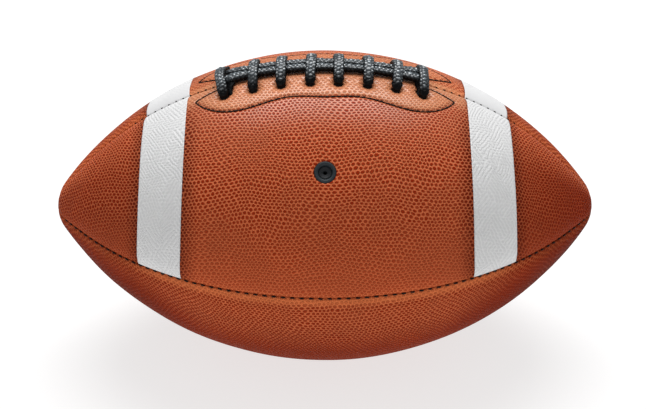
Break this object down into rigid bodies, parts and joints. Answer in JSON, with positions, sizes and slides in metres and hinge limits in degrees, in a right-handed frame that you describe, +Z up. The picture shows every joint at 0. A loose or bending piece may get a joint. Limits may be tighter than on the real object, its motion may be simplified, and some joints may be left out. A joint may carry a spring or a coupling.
{
  "type": "american football",
  "caption": "Laced leather american football of four sewn panels with white bands, lining, bladder and valve.",
  "frame": {"origin": "under the middle of the ball, on the surface that it rests on", "axes": "+X runs from nose to nose, +Z points up through the lacing, and -Y is the side with the valve"},
  "size_m": [0.29, 0.167, 0.1764],
  "materials": {
    "panel_leather": "pebbled, tanned, slightly tacky, satin",
    "white_band": "white coat over the pebbled leather, satin",
    "canvas": "woven cotton, matt",
    "facing_leather": "plain split leather, matt",
    "tongue_leather": "soft split leather, matt",
    "lace_cord": "pebbled dark cord, satin",
    "bladder_film": "smooth film, satin",
    "valve_rubber": "moulded rubber, satin",
    "plug_rubber": "moulded rubber, matt"
  },
  "bodies": {
    "root": {"panel_front_upper": "panel_leather", "panel_back_upper": "panel_leather", "panel_front_lower": "panel_leather", "panel_back_lower": "panel_leather", "lining_front_upper": "canvas", "lining_back_upper": "canvas", "lining_front_lower": "canvas", "lining_back_lower": "canvas", "band_front_left": "white_band", "band_front_right": "white_band", "band_back_left": "white_band", "band_back_right": "white_band", "lace_facing_front": "facing_leather", "lace_facing_back": "facing_leather", "lace_tongue": "tongue_leather", "lace": "lace_cord", "bladder": "bladder_film", "valve_seat": "valve_rubber", "valve_plug": "plug_rubber"}
  },
  "joints": []
}
